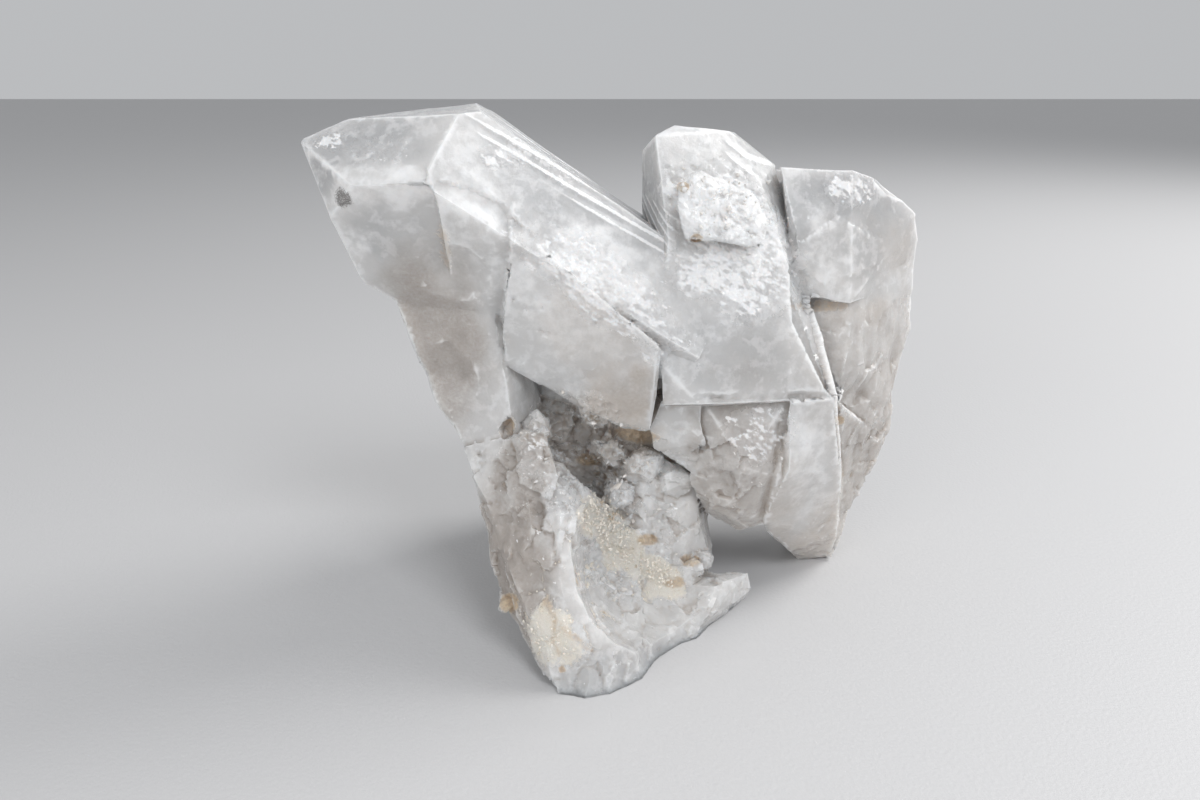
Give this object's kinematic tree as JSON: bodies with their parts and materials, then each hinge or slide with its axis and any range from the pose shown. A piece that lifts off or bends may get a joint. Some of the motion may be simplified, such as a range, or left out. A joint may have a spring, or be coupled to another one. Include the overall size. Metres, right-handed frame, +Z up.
{
  "type": "quartz crystal cluster",
  "caption": "Hand-sized cluster of milky quartz: a large slanting crystal and blunter ones beside it on a rough, stained base.",
  "frame": {"origin": "on the table, under the middle of the cluster's box", "axes": "+X to the right as the cluster is pictured, away from the large crystal's tip; +Y to its back; +Z up"},
  "size_m": [0.1106, 0.0728, 0.0945],
  "materials": {
    "milky_quartz": "satin"
  },
  "bodies": {
    "root": {"quartz_cluster": "milky_quartz"}
  },
  "joints": []
}
